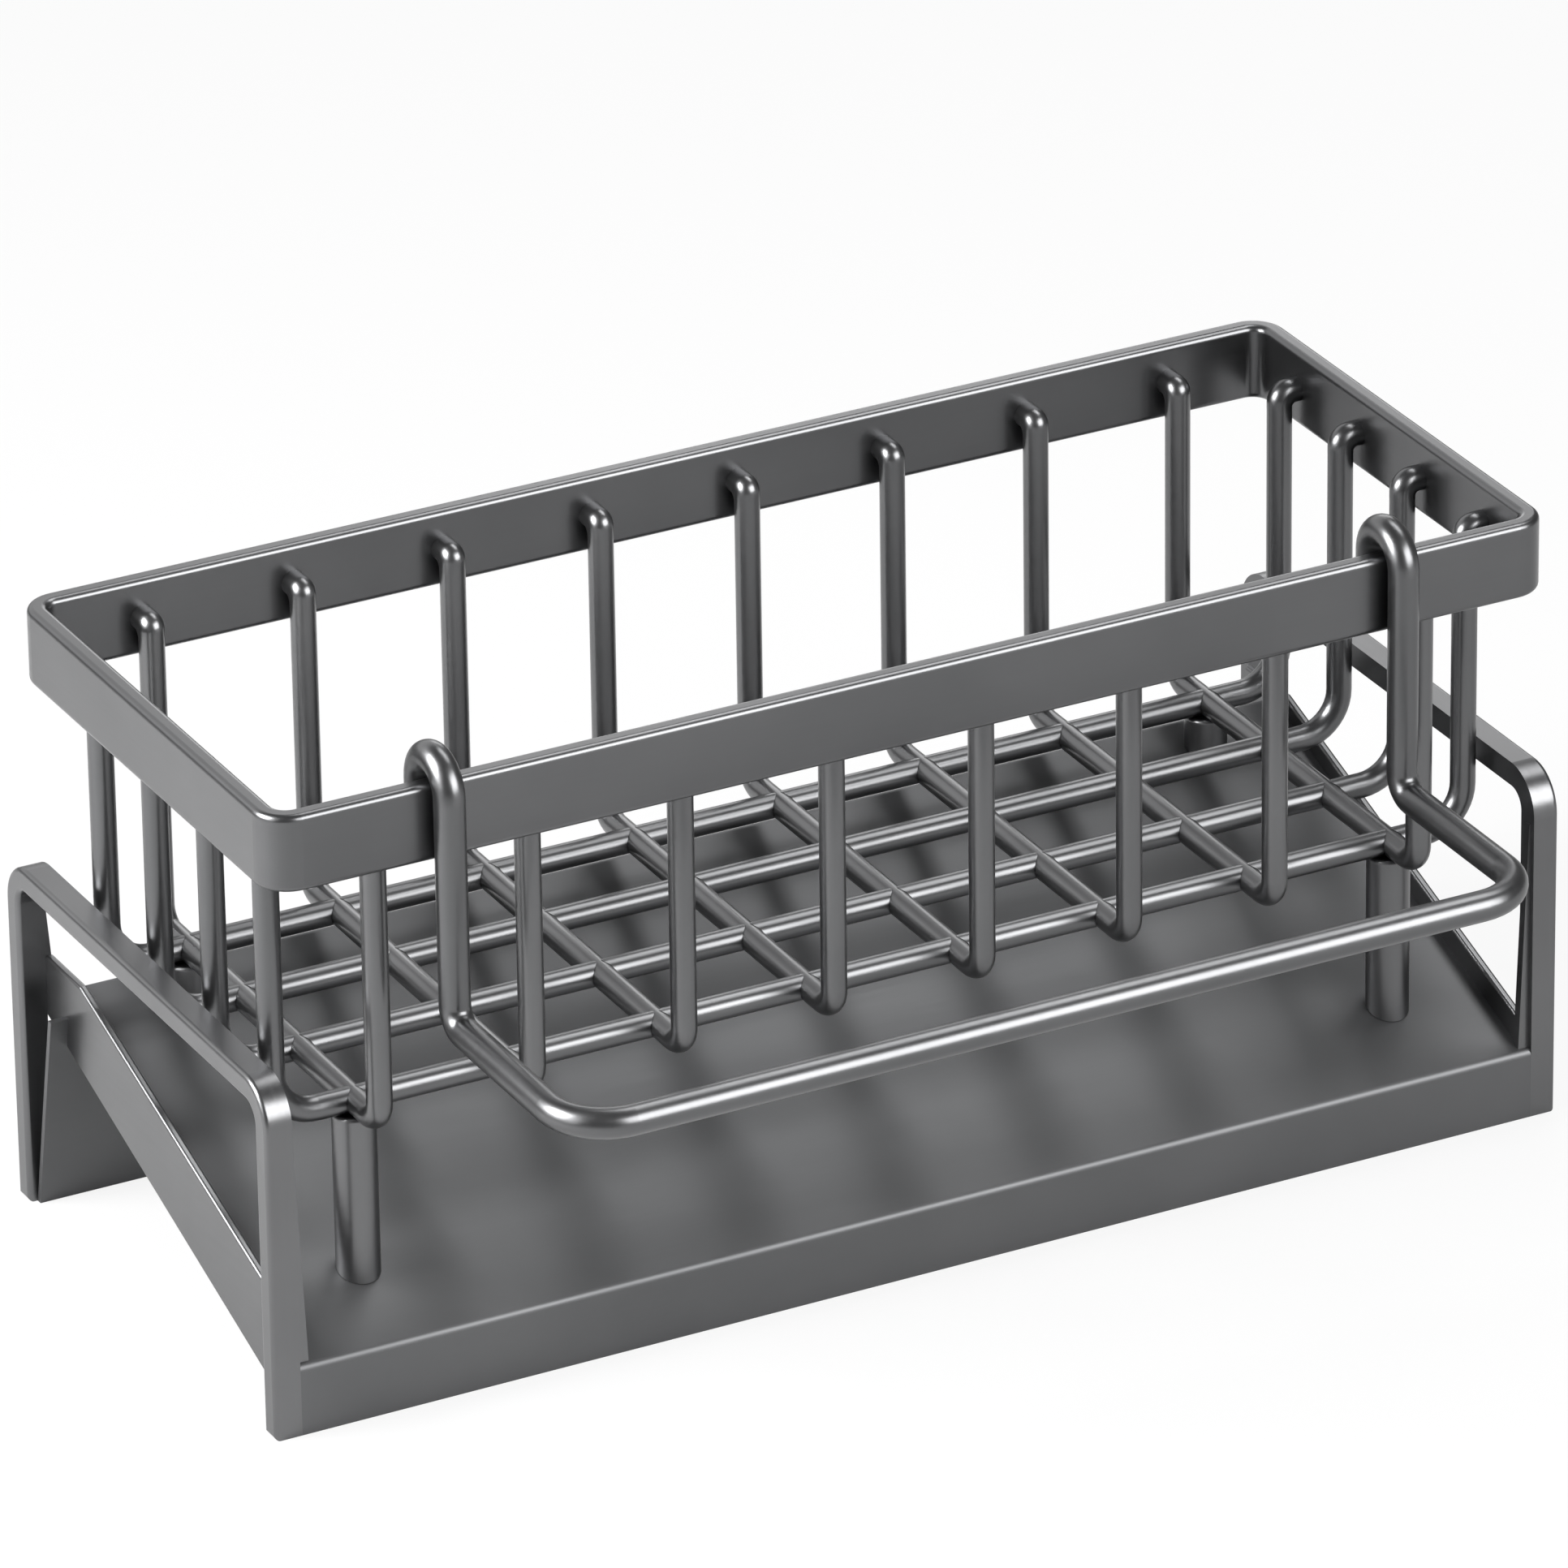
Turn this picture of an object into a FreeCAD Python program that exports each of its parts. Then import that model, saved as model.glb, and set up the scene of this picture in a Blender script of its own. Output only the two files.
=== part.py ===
"""Sink caddy for sponges: a wire basket on four legs, standing in a sloped drip tray, with a rag bar.

The row frame has +X along the caddy, -Y towards the front, +Z up, and its origin under the middle of
the whole caddy, on the worktop. Sizes are in millimetres and are set in the sheet below.
"""
import FreeCAD, Part
import os
import Sketcher

CROSS_WIRES = 8
LONG_WIRES = 4

# Driving sizes: alias, value, meaning
SIZES = [
    ("tray_length", 220.0, "tray over the outer faces of the end hoops"),
    ("tray_depth", 91.2, "tray from apron face to rear face"),
    ("hoop_width", 4.4, "hoop bar across, along the caddy"),
    ("hoop_thick", 3.9, "hoop bar thickness, in the plane of the hoop"),
    ("hoop_height", 58.0, "top of the hoops above the worktop"),
    ("hoop_bend", 7.0, "outer radius of the hoop bends"),
    ("hoop_edge", 0.8, "rounding of the hoop bar's long edges"),
    ("floor_front", 11.4, "height where floor and apron faces meet"),
    ("floor_rear", 39.8, "height where floor and rear panel faces meet"),
    ("fold_setback", 11.9, "rear fold of the floor ahead of the tray's rear face"),
    ("sheet", 1.0, "pan sheet thickness"),
    ("pan_bend", 1.2, "outer radius of the pan's folds"),
    ("ear_width", 3.0, "rear panel's ears beyond the side plates, ahead of the rear hoop legs"),
    ("ear_height", 34.0, "top of the ears above the worktop"),
    ("plate_thick", 1.4, "side plate thickness"),
    ("plate_edge", 0.5, "rounding of the side plates' upper edge"),
    ("plate_rise", 4.6, "side plate above the floor, front end"),
    ("plate_flat", 1.5, "level rear stretch of the side plate above the floor's rear fold"),
    ("plate_flat_run", 12.2, "length of that level stretch"),
    ("plate_drop_front", 10.9, "side plate below the floor face, front end"),
    ("plate_drop_rear", 8.5, "side plate's lower rear corner below the floor's rear fold"),
    ("gusset_thick", 1.5, "gusset thickness"),
    ("gusset_set", 0.9, "front gusset behind the face of the hoop's front leg"),
    ("gusset_foot", 1.8, "gusset width at its foot"),
    ("gusset_tip", 0.3, "gusset width at its top"),
    ("gusset_drop", 8.0, "gusset top below the top of the hoop"),
    ("rim_end_inset", 2.0, "rim's end face inside the hoop's outer face"),
    ("rim_side_inset", 1.6, "half of what the rim's depth falls short of the tray's"),
    ("rim_height", 12.4, "rim bar height"),
    ("rim_thick", 3.2, "rim bar thickness"),
    ("rim_corner", 5.5, "rim outer corner radius"),
    ("rim_edge", 1.0, "rounding of the rim bar's long edges"),
    ("rim_top", 101.7, "top of the rim above the worktop"),
    ("basket_forward", 1.9, "basket centre ahead of the tray centre"),
    ("wire", 4.0, "basket wire diameter"),
    ("wire_top_drop", 6.2, "wire stub axis below the top of the rim"),
    ("wire_top_bend", 2.4, "bend radius of the wire axis at the rim"),
    ("basket_floor", 45.2, "axis of the wires along the basket floor"),
    ("lap_gap", 0.05, "gap beside a wire in the notch of the wire that crosses it"),
    ("cross_stub", 0.7, "straight end of a cross wire at the rim"),
    ("cross_bend", 3.4, "bend radius of the cross wires at the floor"),
    ("cross_margin", 19.45, "outermost cross wire axis from the rim's end face"),
    ("long_stub", 0.7, "straight end of a long wire at the rim"),
    ("long_bend", 7.0, "bend radius of the long wires at the floor"),
    ("long_margin", 15.35, "outermost long wire axis from the rim's side face"),
    ("weld_sink", 0.05, "depth that a leg's top beds into the wires"),
    ("leg", 6.8, "leg diameter"),
    ("leg_edge", 0.6, "rounding of the leg's upper edge"),
    ("foot_gap", 0.1, "gap between a leg's foot and the pan floor"),
    ("rag", 4.8, "rag bar wire diameter"),
    ("rag_margin", 27.8, "rag bar arm axis from the rim's end face"),
    ("rag_level", 63.4, "axis of the rag bar above the worktop"),
    ("rag_reach", 39.6, "front bar axis ahead of the arm axis"),
    ("rag_corner", 9.0, "plan bend radius of the rag bar"),
    ("rag_elbow", 3.6, "bend radius between arm and forward run"),
    ("hook_gap", 0.5, "gap between rag bar and rim"),
    ("hook_slack", 1.2, "spare width of the hook over the rim"),
    ("hook_sink", 1.6, "hook arch centre below the top of the rim"),
    ("hook_tail", 8.7, "straight tail of the hook behind the rim"),
]

doc = FreeCAD.newDocument("sponge_holder")
sheet = doc.addObject("Spreadsheet::Sheet", "sizes")
for row, (alias, value, meaning) in enumerate(SIZES, start=1):
    sheet.set(f"A{row}", alias)
    sheet.set(f"B{row}", str(value))
    sheet.set(f"C{row}", meaning)
    sheet.setAlias(f"B{row}", alias)
doc.recompute()

# Places that several pieces share, as formulas of the sheet
REAR_FOLD_Y = "(sizes.tray_depth / 2 - sizes.fold_setback)"
FLOOR_SLOPE = "((sizes.floor_rear - sizes.floor_front) / (sizes.tray_depth - sizes.fold_setback))"
BASKET_Y = "(-sizes.basket_forward)"
RIM_LENGTH = "(sizes.tray_length - 2 * sizes.rim_end_inset)"
RIM_DEPTH = "(sizes.tray_depth - 2 * sizes.rim_side_inset)"
RIM_HALF_IN_LENGTH = f"({RIM_LENGTH} / 2 - sizes.rim_thick)"
RIM_HALF_IN_DEPTH = f"({RIM_DEPTH} / 2 - sizes.rim_thick)"
OUTER_CROSS_X = f"({RIM_LENGTH} / 2 - sizes.cross_margin)"
OUTER_LONG_Y = f"({RIM_DEPTH} / 2 - sizes.long_margin)"
STUB_LEVEL = "(sizes.rim_top - sizes.wire_top_drop)"
LEG_TOP = "(sizes.basket_floor - sizes.wire / 2 + sizes.weld_sink)"
HOOP_FACE_X = "(sizes.tray_length / 2 - sizes.hoop_width)"
HOOP_FACE_Y = "(sizes.tray_depth / 2 - sizes.hoop_thick)"
FRONT_GUSSET_Y = "(sizes.gusset_set - sizes.tray_depth / 2)"
PLATE_FRONT_Y = f"({FRONT_GUSSET_Y} + sizes.gusset_thick)"
PLATE_REAR_FOOT = "(sizes.floor_rear - sizes.plate_drop_rear)"
RAG_ARM_X = f"({RIM_LENGTH} / 2 - sizes.rag_margin)"
RAG_ARM_Y = f"(-sizes.basket_forward - {RIM_DEPTH} / 2 - sizes.hook_gap - sizes.rag / 2)"
HOOK_RADIUS = "((sizes.rim_thick + sizes.hook_gap + sizes.hook_slack + sizes.rag) / 2)"
# The tray stands behind the origin, because the rag bar reaches ahead of it
TRAY_Y = f"((sizes.rag_reach + sizes.rag / 2 - {RAG_ARM_Y} - sizes.tray_depth / 2) / 2)"
# Two places nearer than this are the same place
TOUCH = 1e-4

bodies = []


def floor_level(y):
    """Height of the pan floor's upper face at a depth from the tray's middle, as a formula."""
    return f"(sizes.floor_front + {FLOOR_SLOPE} * ({y} + sizes.tray_depth / 2))"


def new_body(label, x="0", y="0", z="0"):
    """A named piece, set out from the middle of the tray's footprint."""
    body = doc.addObject("PartDesign::Body", label)
    body.Label = label
    body.setExpression("Placement.Base.x", x)
    body.setExpression("Placement.Base.y", f"{TRAY_Y} + {y}")
    body.setExpression("Placement.Base.z", z)
    bodies.append(body)
    return body


def origin_plane(body, role):
    return next(feature for feature in body.Origin.OriginFeatures if feature.Role == role)


def new_sketch(body, name, role, offset="0"):
    """A sketch on one of the body's origin planes, moved along the plane's normal by offset."""
    sketch = body.newObject("Sketcher::SketchObject", name)
    sketch.AttachmentSupport = (origin_plane(body, role), [""])
    sketch.MapMode = "FlatFace"
    sketch.setExpression("AttachmentOffset.Base.z", offset)
    return sketch


def layout(point):
    """Where a pair of formulas puts a sketch point at the present sizes."""
    across, up = point
    return FreeCAD.Vector(sheet.evalExpression(across), sheet.evalExpression(up), 0)


def dimension(sketch, formula, kind, *where):
    """A dimension of the sketch, bound to a formula of the sheet."""
    value = sheet.evalExpression(formula)
    index = sketch.addConstraint(Sketcher.Constraint(kind, *where, value))
    sketch.setExpression(f"Constraints[{index}]", formula)


def place(sketch, edge, end, point):
    """Sets a point of the sketch out from the sketch's origin."""
    across, up = point
    dimension(sketch, across, "DistanceX", -1, 1, edge, end)
    dimension(sketch, up, "DistanceY", -1, 1, edge, end)


def join_with_arc(sketch, line, following, start, finish, heading):
    """An arc that leaves one run along its heading and ends where the following run starts."""
    chord = finish - start
    side = FreeCAD.Vector(-heading.y, heading.x, 0)
    radius = chord.dot(chord) / (2 * chord.dot(side))
    centre = start + side * radius
    ring = Part.Circle(centre, FreeCAD.Vector(0, 0, 1), abs(radius))
    turns_left = radius > 0
    first, last = (start, finish) if turns_left else (finish, start)
    arc = sketch.addGeometry(Part.ArcOfCircle(ring, ring.parameter(first), ring.parameter(last)), False)
    near, far = (1, 2) if turns_left else (2, 1)
    sketch.addConstraint(Sketcher.Constraint("Tangent", line, 2, arc, near))
    sketch.addConstraint(Sketcher.Constraint("Coincident", arc, far, following, 1))


def draw_runs(sketch, runs, closed):
    """Straight runs, each from point to point, joined end to end or by tangent arcs."""
    lines = []
    for start, finish in runs:
        lines.append(sketch.addGeometry(Part.LineSegment(layout(start), layout(finish)), False))
        place(sketch, lines[-1], 1, start)
    for index, (line, (start, finish)) in enumerate(zip(lines, runs)):
        is_last = index == len(runs) - 1
        if is_last and not closed:
            place(sketch, line, 2, finish)
            continue
        following = (index + 1) % len(runs)
        if finish == runs[following][0]:
            sketch.addConstraint(Sketcher.Constraint("Coincident", line, 2, lines[following], 1))
            continue
        place(sketch, line, 2, finish)
        heading = (layout(finish) - layout(start)).normalize()
        join_with_arc(sketch, line, lines[following], layout(finish), layout(runs[following][0]), heading)


def draw_polygon(sketch, corners):
    draw_runs(sketch, list(zip(corners, corners[1:] + corners[:1])), closed=True)


def draw_rounded_rectangle(sketch, length, depth, corner):
    """A rectangle about the sketch's origin; its sizes are formulas."""
    half_x, half_y = f"{length} / 2", f"{depth} / 2"
    flat_x, flat_y = f"({length} / 2 - {corner})", f"({depth} / 2 - {corner})"
    draw_runs(sketch, [
        ((f"-{flat_x}", f"-{half_y}"), (flat_x, f"-{half_y}")),
        ((half_x, f"-{flat_y}"), (half_x, flat_y)),
        ((flat_x, half_y), (f"-{flat_x}", half_y)),
        ((f"-{half_x}", flat_y), (f"-{half_x}", f"-{flat_y}")),
    ], closed=True)


def draw_circle(sketch, centre, diameter):
    radius = sheet.evalExpression(diameter) / 2
    edge = sketch.addGeometry(Part.Circle(layout(centre), FreeCAD.Vector(0, 0, 1), radius), False)
    place(sketch, edge, 3, centre)
    dimension(sketch, diameter, "Diameter", edge)


def draw_half_disc(sketch, centre, radius, upper):
    """Half a disc, above or below the level of its centre."""
    across, up = centre
    left, right = (f"({across} - {radius})", up), (f"({across} + {radius})", up)
    line = sketch.addGeometry(Part.LineSegment(layout(left), layout(right)), False)
    place(sketch, line, 1, left)
    place(sketch, line, 2, right)
    ring = Part.Circle(layout(centre), FreeCAD.Vector(0, 0, 1), sheet.evalExpression(radius))
    first, last = (right, left) if upper else (left, right)
    turn = ring.parameter(layout(first)), ring.parameter(layout(last))
    arc = sketch.addGeometry(Part.ArcOfCircle(ring, *turn), False)
    near, far = (2, 1) if upper else (1, 2)
    sketch.addConstraint(Sketcher.Constraint("Coincident", arc, 1, line, near))
    sketch.addConstraint(Sketcher.Constraint("Coincident", arc, 2, line, far))
    sketch.addConstraint(Sketcher.Constraint("PointOnObject", arc, 3, line))


def pad(body, sketch, length, both_ways=False):
    feature = body.newObject("PartDesign::Pad", "Pad")
    feature.Profile = sketch
    feature.Midplane = both_ways
    feature.setExpression("Length", length)
    doc.recompute()
    return feature


def cut(body, sketch, depth=None):
    """Cuts the sketch's outline out of the body, to a depth behind the sketch or right through."""
    before = body.Shape.Volume
    feature = body.newObject("PartDesign::Pocket", "Pocket")
    feature.Profile = sketch
    if depth:
        feature.setExpression("Length", depth)
    else:
        feature.Type = "ThroughAll"
        feature.Midplane = True
    doc.recompute()
    if not feature.Shape.Volume < before:
        raise RuntimeError(f"{body.Label}: the cut removes nothing")
    return feature


def sweep(body, profile, path):
    feature = body.newObject("PartDesign::AdditivePipe", "Pipe")
    feature.Profile = profile
    feature.Spine = path
    doc.recompute()
    return feature


def round_edges(body, base, radius, wanted):
    """Rounds the edges of a feature for which wanted says yes."""
    names = [f"Edge{n}" for n, edge in enumerate(base.Shape.Edges, start=1) if wanted(edge)]
    feature = body.newObject("PartDesign::Fillet", "Fillet")
    feature.Base = (base, names)
    feature.setExpression("Radius", radius)
    doc.recompute()
    return feature


def lies_at(edge, axis, place_on_axis):
    """Whether a whole edge lies at one place along an axis of the body."""
    box = edge.BoundBox
    low, high = (getattr(box, axis + end) for end in ("Min", "Max"))
    return abs(low - place_on_axis) < TOUCH and abs(high - place_on_axis) < TOUCH


def make_rim_band():
    """Flat bar bent to a rectangle, with all its long edges rounded."""
    body = new_body("rim_band", y=BASKET_Y, z="sizes.rim_top - sizes.rim_height")
    sketch = new_sketch(body, "rim_outline", "XY_Plane")
    draw_rounded_rectangle(sketch, RIM_LENGTH, RIM_DEPTH, "sizes.rim_corner")
    draw_rounded_rectangle(sketch, f"(2 * {RIM_HALF_IN_LENGTH})", f"(2 * {RIM_HALF_IN_DEPTH})",
                           "(sizes.rim_corner - sizes.rim_thick)")
    bar = pad(body, sketch, "sizes.rim_height")
    height = sheet.rim_height

    def is_long_edge(edge):
        return lies_at(edge, "Z", 0) or lies_at(edge, "Z", height)

    round_edges(body, bar, "sizes.rim_edge", is_long_edge)


def wire_runs(half_in, stub, bend):
    """A U-shaped wire: stub, upright, floor, upright, stub, from one side of the rim to the other."""
    floor = "sizes.basket_floor"
    stub_end = f"({half_in} - {stub})"
    upright = f"({stub_end} - sizes.wire_top_bend)"
    upright_top = f"({STUB_LEVEL} - sizes.wire_top_bend)"
    upright_foot = f"({floor} + {bend})"
    floor_end = f"({upright} - {bend})"
    return [
        ((f"-{half_in}", STUB_LEVEL), (f"-{stub_end}", STUB_LEVEL)),
        ((f"-{upright}", upright_top), (f"-{upright}", upright_foot)),
        ((f"-{floor_end}", floor), (floor_end, floor)),
        ((upright, upright_foot), (upright, upright_top)),
        ((stub_end, STUB_LEVEL), (half_in, STUB_LEVEL)),
    ]


def spread_evenly(count, outermost):
    """Evenly spaced places, as formulas, from the outermost on one side to that on the other."""
    last = int(count) - 1
    return [f"({2 * index / last - 1} * {outermost})" for index in range(last + 1)]


def notch_crossings(body, role, places, upper):
    """Half-lap notches where other wires cross this one, in its upper or lower half."""
    notches = new_sketch(body, "lap_notches", role)
    for across in places:
        draw_half_disc(notches, (across, "sizes.basket_floor"), "(sizes.wire / 2 + sizes.lap_gap)", upper)
    cut(body, notches)


def make_basket_wires():
    """Wires across the basket and along it, half-lapped at one level where they cross."""
    cross_places = spread_evenly(CROSS_WIRES, OUTER_CROSS_X)
    long_places = spread_evenly(LONG_WIRES, OUTER_LONG_Y)
    for number, x in enumerate(cross_places, start=1):
        body = new_body(f"cross_wire_{number}", x=x, y=BASKET_Y)
        path = new_sketch(body, "wire_path", "YZ_Plane")
        draw_runs(path, wire_runs(RIM_HALF_IN_DEPTH, "sizes.cross_stub", "sizes.cross_bend"), closed=False)
        section = new_sketch(body, "wire_section", "XZ_Plane", RIM_HALF_IN_DEPTH)
        draw_circle(section, ("0", STUB_LEVEL), "sizes.wire")
        sweep(body, section, path)
        notch_crossings(body, "YZ_Plane", long_places, upper=False)
    for number, y in enumerate(long_places, start=1):
        body = new_body(f"long_wire_{number}", y=f"{BASKET_Y} + {y}")
        path = new_sketch(body, "wire_path", "XZ_Plane")
        draw_runs(path, wire_runs(RIM_HALF_IN_LENGTH, "sizes.long_stub", "sizes.long_bend"), closed=False)
        section = new_sketch(body, "wire_section", "YZ_Plane", f"-{RIM_HALF_IN_LENGTH}")
        draw_circle(section, ("0", STUB_LEVEL), "sizes.wire")
        sweep(body, section, path)
        notch_crossings(body, "XZ_Plane", cross_places, upper=True)


def cut_to_floor(body, y, reach, gap):
    """Cuts the foot of a piece that stands at depth y to the slope of the pan floor."""
    foot = f"({floor_level(y)} + {gap})"
    fall = f"({FLOOR_SLOPE} * {reach})"
    slope = new_sketch(body, "foot_slope", "YZ_Plane")
    draw_polygon(slope, [
        (f"-{reach}", f"-{reach}"),
        (reach, f"-{reach}"),
        (reach, f"({foot} + {fall})"),
        (f"-{reach}", f"({foot} - {fall})"),
    ])
    cut(body, slope)


def make_legs():
    """Posts under the outer crossings of the wires, their feet cut to the slope of the pan floor."""
    ends = (("front", f"({BASKET_Y} - {OUTER_LONG_Y})"), ("rear", f"({BASKET_Y} + {OUTER_LONG_Y})"))
    for end, y in ends:
        for side, x in (("left", f"-{OUTER_CROSS_X}"), ("right", OUTER_CROSS_X)):
            body = new_body(f"leg_{end}_{side}", x=x, y=y)
            section = new_sketch(body, "leg_section", "XY_Plane")
            draw_circle(section, ("0", "0"), "sizes.leg")
            post = pad(body, section, LEG_TOP)
            top = sheet.evalExpression(LEG_TOP)
            round_edges(body, post, "sizes.leg_edge", lambda edge: lies_at(edge, "Z", top))
            cut_to_floor(body, y, "sizes.leg", "sizes.foot_gap")


def make_rag_bar():
    """One wire: hook over the rim, arm, forward run and front bar, the same at both ends."""
    body = new_body("rag_bar", y=RAG_ARM_Y)
    tail_y = f"(2 * {HOOK_RADIUS})"
    arch = "(sizes.rim_top - sizes.hook_sink)"
    middle = "(sizes.rag_reach / 2)"
    hook = new_sketch(body, "hook_path", "YZ_Plane", f"-{RAG_ARM_X}")
    draw_runs(hook, [
        ((tail_y, f"({arch} - sizes.hook_tail)"), (tail_y, arch)),
        (("0", arch), ("0", "(sizes.rag_level + sizes.rag_elbow)")),
        (("-sizes.rag_elbow", "sizes.rag_level"), (f"-{middle}", "sizes.rag_level")),
    ], closed=False)
    tail = new_sketch(body, "tail_section", "XY_Plane", f"{arch} - sizes.hook_tail")
    draw_circle(tail, (f"-{RAG_ARM_X}", tail_y), "sizes.rag")
    hook_pipe = sweep(body, tail, hook)
    front = new_sketch(body, "front_path", "XY_Plane", "sizes.rag_level")
    bar_y = "-sizes.rag_reach"
    turn_y = "-(sizes.rag_reach - sizes.rag_corner)"
    turn_x = f"({RAG_ARM_X} - sizes.rag_corner)"
    draw_runs(front, [
        ((f"-{RAG_ARM_X}", f"-{middle}"), (f"-{RAG_ARM_X}", turn_y)),
        ((f"-{turn_x}", bar_y), (turn_x, bar_y)),
        ((RAG_ARM_X, turn_y), (RAG_ARM_X, f"-{middle}")),
    ], closed=False)
    section = new_sketch(body, "front_section", "XZ_Plane", middle)
    draw_circle(section, (f"-{RAG_ARM_X}", "sizes.rag_level"), "sizes.rag")
    sweep(body, section, front)
    mirror = body.newObject("PartDesign::Mirrored", "Mirrored")
    mirror.Originals = [hook_pipe]
    mirror.MirrorPlane = (origin_plane(body, "YZ_Plane"), [""])
    body.Tip = mirror
    doc.recompute()


def plate_outline():
    """Corners of a side plate: its top climbs with the floor, then runs level to the rear hoop leg."""
    front_floor = floor_level(PLATE_FRONT_Y)
    level_top = "(sizes.floor_rear + sizes.plate_flat)"
    knee_y = f"({HOOP_FACE_Y} - sizes.plate_flat_run)"
    return [
        (PLATE_FRONT_Y, f"({front_floor} - sizes.plate_drop_front)"),
        (HOOP_FACE_Y, PLATE_REAR_FOOT),
        (HOOP_FACE_Y, level_top),
        (knee_y, level_top),
        (PLATE_FRONT_Y, f"({front_floor} + sizes.plate_rise)"),
    ]


def make_drip_pan():
    """One sheet folded twice: front apron, sloped floor and leaning rear panel, with an ear at each end."""
    body = new_body("drip_pan")
    front = "-sizes.tray_depth / 2"
    profile = new_sketch(body, "pan_profile", "YZ_Plane")
    draw_polygon(profile, [
        (front, "0"),
        (HOOP_FACE_Y, "0"),
        (REAR_FOLD_Y, "sizes.floor_rear"),
        (front, "sizes.floor_front"),
    ])
    block = pad(body, profile, f"2 * {HOOP_FACE_X}", both_ways=True)
    half = sheet.evalExpression(HOOP_FACE_X)
    along = [edge for edge in block.Shape.Edges if edge.BoundBox.XLength > half]
    folds = sorted(along, key=lambda edge: edge.BoundBox.ZMin)[2:]

    def is_fold(edge):
        return any(edge.isSame(fold) for fold in folds)

    rounded = round_edges(body, block, "sizes.pan_bend", is_fold)
    open_faces = []
    for number, face in enumerate(rounded.Shape.Faces, start=1):
        box = face.BoundBox
        if box.ZMax < TOUCH or box.XLength < TOUCH:
            open_faces.append(f"Face{number}")
    folded = body.newObject("PartDesign::Thickness", "Thickness")
    folded.Base = (rounded, open_faces)
    folded.Reversed = True
    folded.setExpression("Value", "sizes.sheet")
    doc.recompute()
    for far_face in (f"sizes.plate_thick - {HOOP_FACE_X}", HOOP_FACE_X):
        notch = new_sketch(body, "plate_notch", "YZ_Plane", far_face)
        draw_polygon(notch, plate_outline())
        cut(body, notch, "sizes.plate_thick")
    lean = f"(({HOOP_FACE_Y} - {REAR_FOLD_Y}) / sizes.floor_rear)"
    sheet_across = f"(sizes.sheet * sqrt(1 + {lean} ^ 2))"
    ear_top_y = f"({HOOP_FACE_Y} - {lean} * sizes.ear_height)"
    for near_face in (f"-({HOOP_FACE_X} + sizes.ear_width)", HOOP_FACE_X):
        ear = new_sketch(body, "ear_section", "YZ_Plane", near_face)
        draw_polygon(ear, [
            (HOOP_FACE_Y, "0"),
            (ear_top_y, "sizes.ear_height"),
            (f"({ear_top_y} - {sheet_across})", "sizes.ear_height"),
            (f"({HOOP_FACE_Y} - {sheet_across})", "0"),
        ])
        pad(body, ear, "sizes.ear_width")


def make_side_plates():
    """Plates at the ends of the floor, let into the pan's edge."""
    for side, x in (("left", f"-{HOOP_FACE_X}"), ("right", f"{HOOP_FACE_X} - sizes.plate_thick")):
        body = new_body(f"side_plate_{side}", x=x)
        sketch = new_sketch(body, "plate_outline", "YZ_Plane")
        outline = plate_outline()
        draw_polygon(sketch, outline)
        plate = pad(body, sketch, "sizes.plate_thick")
        level_top, front_top = layout(outline[2]).y, layout(outline[4]).y

        def is_top_edge(edge):
            box = edge.BoundBox
            runs_back = box.YLength > TOUCH and box.ZMin > front_top - TOUCH
            return runs_back and abs(box.ZMax - level_top) < TOUCH

        round_edges(body, plate, "sizes.plate_edge", is_top_edge)


def make_gussets():
    """Tapered strips that brace each hoop leg on its inner side; the front ones stand on the floor."""
    foot_at = {"front": floor_level(FRONT_GUSSET_Y), "rear": PLATE_REAR_FOOT}
    top = "(sizes.hoop_height - sizes.gusset_drop)"
    for end, face_y in (("front", FRONT_GUSSET_Y), ("rear", HOOP_FACE_Y)):
        middle_y = f"({face_y} + sizes.gusset_thick / 2)"
        for side, x, inward in (("left", f"-{HOOP_FACE_X}", ""), ("right", HOOP_FACE_X, "-")):
            body = new_body(f"gusset_{end}_{side}", x=x, y=middle_y)
            sketch = new_sketch(body, "gusset_outline", "XZ_Plane")
            draw_polygon(sketch, [
                ("0", foot_at[end]),
                (f"{inward}sizes.gusset_foot", foot_at[end]),
                (f"{inward}sizes.gusset_tip", top),
                ("0", top),
            ])
            pad(body, sketch, "sizes.gusset_thick", both_ways=True)
            if end == "front":
                cut_to_floor(body, middle_y, "sizes.gusset_thick", "0")


def make_end_hoops():
    """Bars bent to an inverted U, standing at the ends of the pan."""
    outer_y, inner_y = "(sizes.tray_depth / 2)", HOOP_FACE_Y
    bend_y = "(sizes.tray_depth / 2 - sizes.hoop_bend)"
    top, under, bend_z = ("sizes.hoop_height", "(sizes.hoop_height - sizes.hoop_thick)",
                          "(sizes.hoop_height - sizes.hoop_bend)")
    half = "(sizes.tray_length / 2)"
    for side, x in (("left", f"-{half}"), ("right", f"{half} - sizes.hoop_width")):
        body = new_body(f"end_hoop_{side}", x=x)
        sketch = new_sketch(body, "hoop_outline", "YZ_Plane")
        draw_runs(sketch, [
            ((outer_y, "0"), (outer_y, bend_z)),
            ((bend_y, top), (f"-{bend_y}", top)),
            ((f"-{outer_y}", bend_z), (f"-{outer_y}", "0")),
            ((f"-{outer_y}", "0"), (f"-{inner_y}", "0")),
            ((f"-{inner_y}", "0"), (f"-{inner_y}", bend_z)),
            ((f"-{bend_y}", under), (bend_y, under)),
            ((inner_y, bend_z), (inner_y, "0")),
            ((inner_y, "0"), (outer_y, "0")),
        ], closed=True)
        bar = pad(body, sketch, "sizes.hoop_width")
        outside = 0 if side == "left" else sheet.hoop_width
        round_edges(body, bar, "sizes.hoop_edge", lambda edge: lies_at(edge, "X", outside))


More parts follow.
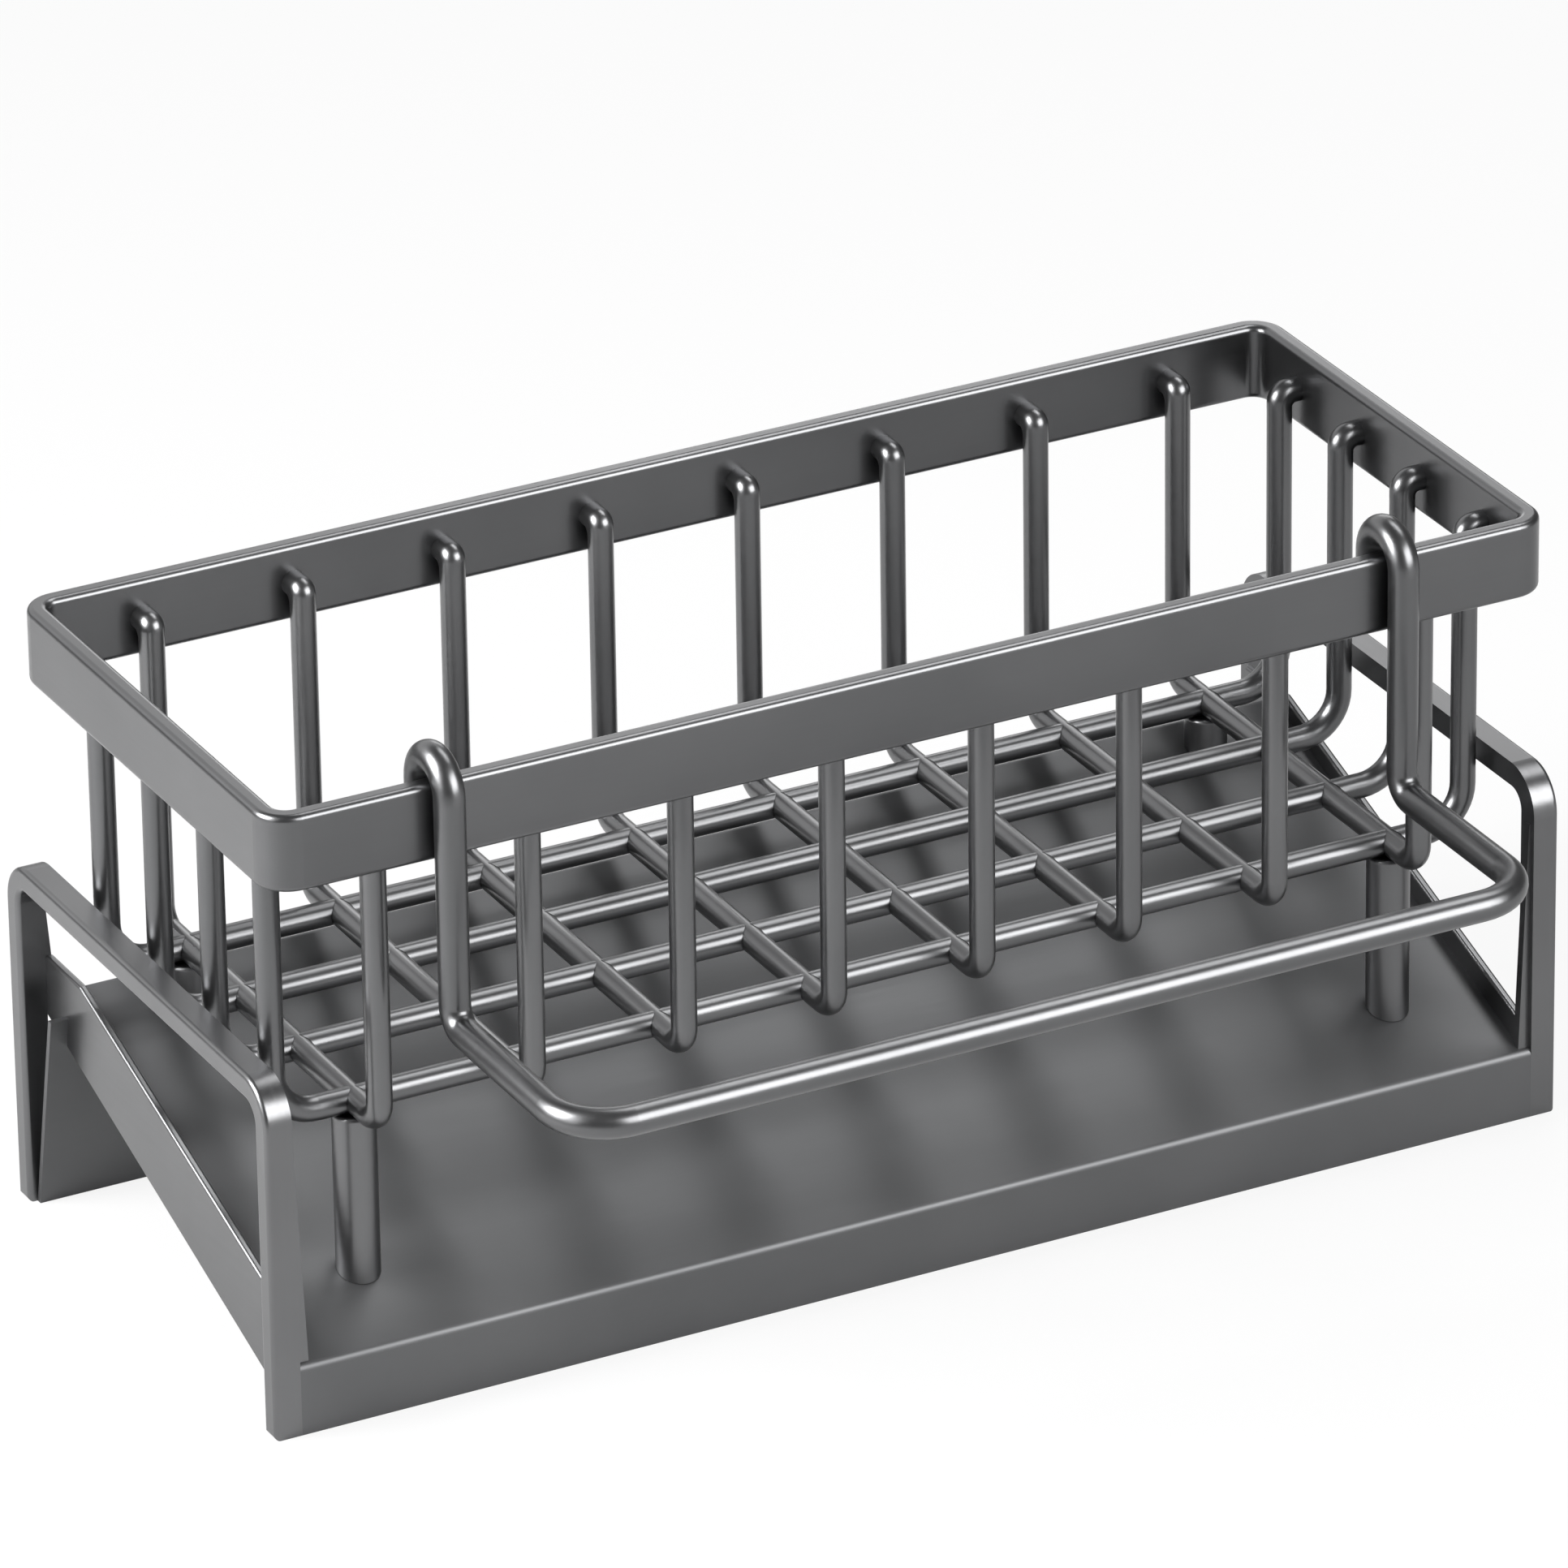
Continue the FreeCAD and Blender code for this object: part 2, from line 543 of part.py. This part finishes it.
def check_model():
    """Stops if a feature failed or a piece is not one sound solid."""
    for thing in doc.Objects:
        if {"Invalid", "Error"} & set(thing.State):
            raise RuntimeError(f"{thing.Label} failed: {thing.State}")
    for body in bodies:
        shape = body.Shape
        if shape.isNull() or not shape.isValid() or len(shape.Solids) != 1:
            raise RuntimeError(f"{body.Label} is not one sound solid")


make_drip_pan()
make_side_plates()
make_end_hoops()
make_gussets()
make_rim_band()
make_basket_wires()
make_legs()
make_rag_bar()
doc.recompute()
check_model()
os.makedirs("parts", exist_ok=True)
for body in bodies:
    body.Shape.exportStep(f"parts/{body.Label}.step")
    print(f"{body.Label}: {body.Shape.Volume:.1f} mm3")
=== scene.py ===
import math

import bmesh
import bpy
from mathutils import Euler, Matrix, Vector


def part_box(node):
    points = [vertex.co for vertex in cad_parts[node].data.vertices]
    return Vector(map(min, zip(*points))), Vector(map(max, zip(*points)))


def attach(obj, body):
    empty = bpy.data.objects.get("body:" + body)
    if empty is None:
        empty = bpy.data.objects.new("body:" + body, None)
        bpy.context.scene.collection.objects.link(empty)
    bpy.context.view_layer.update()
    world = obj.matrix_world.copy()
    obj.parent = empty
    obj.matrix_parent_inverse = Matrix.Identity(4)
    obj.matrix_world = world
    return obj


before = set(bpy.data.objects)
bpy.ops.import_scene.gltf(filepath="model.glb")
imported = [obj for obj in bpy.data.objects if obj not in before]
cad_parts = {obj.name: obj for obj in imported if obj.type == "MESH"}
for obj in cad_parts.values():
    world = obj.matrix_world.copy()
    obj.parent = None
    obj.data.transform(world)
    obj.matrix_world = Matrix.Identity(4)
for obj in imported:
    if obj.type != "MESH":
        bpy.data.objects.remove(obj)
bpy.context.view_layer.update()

# Lengths are in metres
MM = 0.001
UP = Vector((0, 0, 1))
WHITE = (1, 1, 1, 1)

# Middle of the object without its rag bar, which the lamps face
TRAY_Y = 22.6 * MM
CENTRE = Vector((0.0, TRAY_Y, 55 * MM))

# Camera with a long lens, turned by angles in degrees
CAMERA_PLACE = (-0.81845, -1.56171, 0.92863)
CAMERA_TURN = (64.1047, 0.7510, -27.6810)
CAMERA_SENSOR = 36.0
CAMERA_LENS = 298.81
CAMERA_NEAR = 0.01
CAMERA_FAR = 100.0

# Wires, as they leave the rim: straight for a short way, then bent down
WIRE_RADIUS = 2.0 * MM
WIRE_STUB = 0.7 * MM
WIRE_BEND = 2.4 * MM
WIRE_SIDES = 32

# The sharper bend laid over that one, just proud of the wire
KNUCKLE_RADIUS = 2.02 * MM
KNUCKLE_BENDS = {"cross_wire": 0.7 * MM, "long_wire": 1.7 * MM}
KNUCKLE_STEPS = 16
# How near its inner side may come to the pivot of the bend
KNUCKLE_CORE = 0.05 * MM
# Straight stretch on either side of the bend, and how far it runs on below the wire's own bend
KNUCKLE_LAP = 0.7 * MM
KNUCKLE_FOOT = 0.3 * MM

# Greys of the metal, dark and light. The first set is the coat's own grey; the two darker sets, for the
# rim, long wires, rag bar and pan, are painted shade: darker copies of that same coat
PLAIN = (0.132, 0.133, 0.136), (0.164, 0.165, 0.168)
DEEP_PAINTED_SHADE = (0.116, 0.117, 0.120), (0.144, 0.145, 0.148)
SHEET_PAINTED_SHADE = (0.106, 0.107, 0.110), (0.132, 0.133, 0.136)

# Noises of the metal's finish: how fine they are per metre, and which part of them counts
EVEN = (1.0, 1.0, 1.0)
CLOUD_SCALE = 28.0
PEBBLE_SCALE = 2600.0
GRAIN_SHARE = 0.12
TONE_SPAN = 0.4, 0.95
NOISE_MIDDLE = 0.3, 0.7

# Relief of the coat and of the grain: strength and depth
COAT_RELIEF = 0.06, 0.02 * MM
GRAIN_RELIEF = 0.025, 0.01 * MM

# Floor: a wide disc just under the object, and the share of its own white that each kind of ray sees
FLOOR_RADIUS = 6.0
FLOOR_SIDES = 96
FLOOR_LEVEL = -0.02 * MM
FLOOR_GREY = (0.5, 0.5, 0.5, 1)
FLOOR_WHITE = {"Is Camera Ray": 0.85, "Is Glossy Ray": 0.25, "Is Transmission Ray": 0.85}

# Light of the room, and soft lamps: direction and distance from the middle, width, height and watts
ROOM_LIGHT = 0.20
SOFTBOXES = {
    "softbox_front": ((0.41, -0.80, 0.45), 1.3, 1.0, 0.80, 24.5),
    "softbox_over": ((0.44, 0.20, 0.87), 1.1, 0.7, 0.34, 4.5),
    "softbox_rear_right": ((0.52, 0.80, 0.31), 1.3, 0.45, 0.35, 1.5),
    "softbox_rear": ((-0.10, 0.85, 0.45), 1.3, 1.5, 0.9, 4.5),
    "softbox_left": ((-0.95, -0.05, 0.35), 1.2, 0.9, 0.7, 6.0),
    "softbox_near_left": ((-0.84, 0.12, 0.53), 0.50, 0.25, 0.25, 5.8),
}

scene = bpy.context.scene
scene.view_settings.view_transform = "Standard"


def add_camera():
    """Long lens, from the front left and above."""
    camera = bpy.data.objects.new("camera", bpy.data.cameras.new("camera"))
    scene.collection.objects.link(camera)
    camera.location = CAMERA_PLACE
    camera.rotation_euler = Euler([math.radians(angle) for angle in CAMERA_TURN])
    camera.data.sensor_width = CAMERA_SENSOR
    camera.data.lens = CAMERA_LENS
    camera.data.clip_start = CAMERA_NEAR
    camera.data.clip_end = CAMERA_FAR
    scene.camera = camera


class Nodes:
    """Short ways to add and join the nodes of one shader."""

    def __init__(self, tree):
        self.tree = tree

    def add(self, kind, **settings):
        node = self.tree.nodes.new(kind)
        for name, value in settings.items():
            setattr(node, name, value)
        return node

    def join(self, output, socket):
        self.tree.links.new(output, socket)

    def noise(self, coordinates, stretch, scale, detail, roughness=0.5):
        """Noise in metres of the row frame, stretched by three factors."""
        mapping = self.add("ShaderNodeMapping")
        mapping.inputs["Scale"].default_value = stretch
        self.join(coordinates, mapping.inputs["Vector"])
        noise = self.add("ShaderNodeTexNoise")
        noise.inputs["Scale"].default_value = scale
        noise.inputs["Detail"].default_value = detail
        noise.inputs["Roughness"].default_value = roughness
        self.join(mapping.outputs["Vector"], noise.inputs["Vector"])
        return noise.outputs["Fac"]

    def spread(self, value, low, high):
        """Maps the middle of a noise onto a range."""
        span = self.add("ShaderNodeMapRange")
        span.inputs["From Min"].default_value = NOISE_MIDDLE[0]
        span.inputs["From Max"].default_value = NOISE_MIDDLE[1]
        span.inputs["To Min"].default_value = low
        span.inputs["To Max"].default_value = high
        self.join(value, span.inputs["Value"])
        return span.outputs["Result"]

    def relief(self, height, strength, depth):
        """A bump node that raises the surface by a height."""
        bump = self.add("ShaderNodeBump")
        bump.inputs["Strength"].default_value = strength
        bump.inputs["Distance"].default_value = depth
        self.join(height, bump.inputs["Height"])
        return bump

    def mix(self, share, first, second, surface):
        """Shows two shaders on a surface, the second by its share."""
        mixed = self.add("ShaderNodeMixShader")
        self.join(share, mixed.inputs["Fac"])
        self.join(first, mixed.inputs[1])
        self.join(second, mixed.inputs[2])
        self.join(mixed.outputs["Shader"], surface)


def satin_metal(name, stretch, tones, smooth, rough):
    """Grey satin metal: cloudy tone, fine grain along the stock, and a faint pebble in the coat."""
    material = bpy.data.materials.new(name)
    material.use_nodes = True
    nodes = Nodes(material.node_tree)
    shader = material.node_tree.nodes["Principled BSDF"]
    shader.inputs["Metallic"].default_value = 1.0
    place = nodes.add("ShaderNodeTexCoord").outputs["Object"]

    cloud = nodes.noise(place, EVEN, CLOUD_SCALE, detail=3.0)
    grain = nodes.noise(place, stretch, 1.0, detail=3.0, roughness=0.6)
    tone = nodes.add("ShaderNodeMath", operation="MULTIPLY_ADD")
    tone.inputs[1].default_value = GRAIN_SHARE
    nodes.join(grain, tone.inputs[0])
    nodes.join(cloud, tone.inputs[2])
    ramp = nodes.add("ShaderNodeValToRGB")
    for element, position, grey in zip(ramp.color_ramp.elements, TONE_SPAN, tones):
        element.position = position
        element.color = (*grey, 1)
    nodes.join(tone.outputs[0], ramp.inputs["Fac"])
    nodes.join(ramp.outputs["Color"], shader.inputs["Base Color"])

    nodes.join(nodes.spread(grain, smooth, rough), shader.inputs["Roughness"])

    pebble = nodes.noise(place, EVEN, PEBBLE_SCALE, detail=1.0)
    coat = nodes.relief(pebble, *COAT_RELIEF)
    lines = nodes.relief(grain, *GRAIN_RELIEF)
    nodes.join(coat.outputs["Normal"], lines.inputs["Normal"])
    nodes.join(lines.outputs["Normal"], shader.inputs["Normal"])
    return material


def dress_nodes():
    """Gives each kind of stock its own grain, and returns the materials."""
    # The pan, rim, long wires and rag bar take the darker greys, which are painted shade on the one grey
    # coat
    stock = {
        "drip_pan": satin_metal("satin_sheet", (60, 2200, 2200), SHEET_PAINTED_SHADE, 0.49, 0.53),
        "side_plate": satin_metal("satin_plate", (900, 60, 900), PLAIN, 0.30, 0.34),
        "gusset": satin_metal("satin_gusset", (1200, 1200, 60), PLAIN, 0.30, 0.34),
        "end_hoop": satin_metal("satin_hoop", (2600, 60, 60), PLAIN, 0.30, 0.34),
        "rim_band": satin_metal("satin_rim", (60, 60, 2600), DEEP_PAINTED_SHADE, 0.28, 0.31),
        "long_wire": satin_metal("satin_long_wire", (60, 1500, 1500), DEEP_PAINTED_SHADE, 0.29, 0.33),
        "cross_wire": satin_metal("satin_cross_wire", (1500, 60, 1500), PLAIN, 0.29, 0.33),
        "leg": satin_metal("satin_leg", (900, 900, 60), PLAIN, 0.32, 0.36),
        "rag_bar": satin_metal("satin_rag_bar", (600, 600, 600), DEEP_PAINTED_SHADE, 0.30, 0.34),
    }
    for name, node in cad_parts.items():
        kind = next(kind for kind in stock if name.startswith(kind))
        node.data.materials.clear()
        node.data.materials.append(stock[kind])
    return stock


def add_knuckle(shape, foot, towards, bend):
    """The sharp bend below a wire's end, from the rim to the upright, closed at both ends."""
    side = towards.cross(UP)
    corner = foot + towards * (WIRE_STUB + WIRE_BEND)
    pivot = corner - (towards + UP) * bend
    rings = []

    def add_ring(middle, out, core):
        """One ring; a core keeps its inner side from passing the pivot."""
        ring = []
        for k in range(WIRE_SIDES):
            angle = 2 * math.pi * k / WIRE_SIDES
            reach = max(KNUCKLE_RADIUS * math.cos(angle), core)
            ring.append(shape.verts.new(middle + out * reach + side * (KNUCKLE_RADIUS * math.sin(angle))))
        rings.append(ring)

    add_ring(foot, UP, -KNUCKLE_RADIUS)
    add_ring(corner - towards * (bend + KNUCKLE_LAP), UP, -KNUCKLE_RADIUS)
    for step in range(KNUCKLE_STEPS + 1):
        turn = math.pi / 2 * step / KNUCKLE_STEPS
        out = UP * math.cos(turn) + towards * math.sin(turn)
        add_ring(pivot + out * bend, out, KNUCKLE_CORE - bend)
    add_ring(corner - UP * (bend + KNUCKLE_LAP), towards, -KNUCKLE_RADIUS)
    add_ring(corner - UP * (WIRE_BEND + KNUCKLE_FOOT), towards, -KNUCKLE_RADIUS)
    for one, two in zip(rings, rings[1:]):
        for k in range(WIRE_SIDES):
            after = (k + 1) % WIRE_SIDES
            shape.faces.new((one[k], one[after], two[after], two[k]))
    for ring in (rings[0], rings[-1]):
        for edge in shape.faces.new(ring).edges:
            edge.smooth = False


def add_wire_ends(kind, along, material):
    """Knuckles at both ends of every wire of one kind, which runs along one axis."""
    shape = bmesh.new()
    for name in sorted(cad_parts):
        if not name.startswith(kind):
            continue
        low, high = map(Vector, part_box(name))
        for end, sign in ((low, 1), (high, -1)):
            foot = (low + high) / 2
            foot.z = high.z - WIRE_RADIUS
            foot[along] = end[along]
            towards = Vector((0, 0, 0))
            towards[along] = sign
            add_knuckle(shape, foot, towards, KNUCKLE_BENDS[kind])
    bmesh.ops.recalc_face_normals(shape, faces=shape.faces)
    for face in shape.faces:
        face.smooth = True
    mesh = bpy.data.meshes.new(kind + "_ends")
    shape.to_mesh(mesh)
    shape.free()
    mesh.materials.append(material)
    ends = bpy.data.objects.new(kind + "_ends", mesh)
    scene.collection.objects.link(ends)
    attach(ends, "basket")


def own_white(nodes):
    """Share of its own white that the floor shows: most to the camera, a little in reflections."""
    path = nodes.add("ShaderNodeLightPath")
    total = None
    for output, share in FLOOR_WHITE.items():
        part = nodes.add("ShaderNodeMath", operation="MULTIPLY")
        part.inputs[1].default_value = share
        nodes.join(path.outputs[output], part.inputs[0])
        if total:
            most = nodes.add("ShaderNodeMath", operation="MAXIMUM")
            nodes.join(total, most.inputs[0])
            nodes.join(part.outputs[0], most.inputs[1])
            part = most
        total = part.outputs[0]
    return total


def add_floor():
    """White floor that keeps a soft shadow."""
    bpy.ops.mesh.primitive_circle_add(vertices=FLOOR_SIDES, radius=FLOOR_RADIUS, fill_type="NGON",
                                      location=(0, 0, FLOOR_LEVEL))
    floor = bpy.context.object
    floor.name = "floor"
    material = bpy.data.materials.new("white_floor")
    material.use_nodes = True
    nodes = Nodes(material.node_tree)
    material.node_tree.nodes.remove(material.node_tree.nodes["Principled BSDF"])
    matt = nodes.add("ShaderNodeBsdfDiffuse")
    matt.inputs["Color"].default_value = FLOOR_GREY
    glow = nodes.add("ShaderNodeEmission")
    glow.inputs["Color"].default_value = WHITE
    nodes.mix(own_white(nodes), matt.outputs["BSDF"], glow.outputs["Emission"],
              material.node_tree.nodes["Material Output"].inputs["Surface"])
    floor.data.materials.append(material)


def add_softbox(name, towards, distance, width, height, power):
    """A soft lamp at a distance in a direction from the middle of the object."""
    lamp = bpy.data.lights.new(name, "AREA")
    lamp.shape = "RECTANGLE"
    lamp.size = width
    lamp.size_y = height
    lamp.energy = power
    box = bpy.data.objects.new(name, lamp)
    scene.collection.objects.link(box)
    away = Vector(towards).normalized()
    box.location = CENTRE + distance * away
    box.rotation_euler = away.to_track_quat("Z", "Y").to_euler()


def add_light():
    """A dim room that looks white to the camera, and the soft lamps."""
    world = bpy.data.worlds.new("studio")
    scene.world = world
    world.use_nodes = True
    nodes = Nodes(world.node_tree)
    room = world.node_tree.nodes["Background"]
    room.inputs["Color"].default_value = WHITE
    room.inputs["Strength"].default_value = ROOM_LIGHT
    backdrop = nodes.add("ShaderNodeBackground")
    backdrop.inputs["Color"].default_value = WHITE
    path = nodes.add("ShaderNodeLightPath")
    nodes.mix(path.outputs["Is Camera Ray"], room.outputs["Background"], backdrop.outputs["Background"],
              world.node_tree.nodes["World Output"].inputs["Surface"])
    for name, settings in SOFTBOXES.items():
        add_softbox(name, *settings)


add_camera()
stock = dress_nodes()
add_wire_ends("cross_wire", 1, stock["cross_wire"])
add_wire_ends("long_wire", 0, stock["long_wire"])
add_floor()
add_light()
